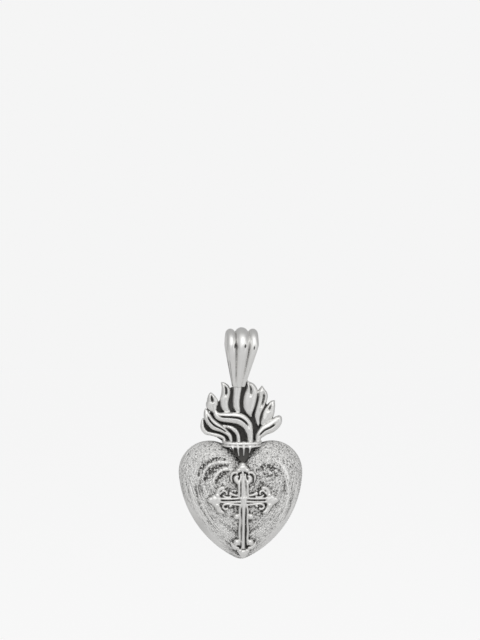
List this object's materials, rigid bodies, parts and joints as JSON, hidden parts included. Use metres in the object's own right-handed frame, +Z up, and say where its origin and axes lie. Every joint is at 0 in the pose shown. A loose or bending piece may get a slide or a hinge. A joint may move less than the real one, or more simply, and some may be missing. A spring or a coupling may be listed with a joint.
{
  "type": "sacred heart pendant",
  "caption": "Domed heart pendant with a flame crown in a ridged collar, an ornate cross in relief on its front, and a fluted bail bored for a chain.",
  "frame": {"origin": "centre of the bail's bore", "axes": "+Z up as the pendant hangs, -Y out of its front, +X to the right as the front is seen"},
  "size_m": [0.0242, 0.0098, 0.0452],
  "materials": {
    "sanded_silver": "sanded sterling silver with chased lines, darkened in the hollows",
    "polished_silver": "polished sterling silver with blackened recesses"
  },
  "bodies": {
    "root": {"heart_body": "sanded_silver", "flame_crown": "polished_silver", "cross": "polished_silver", "bail": "polished_silver"}
  },
  "joints": []
}
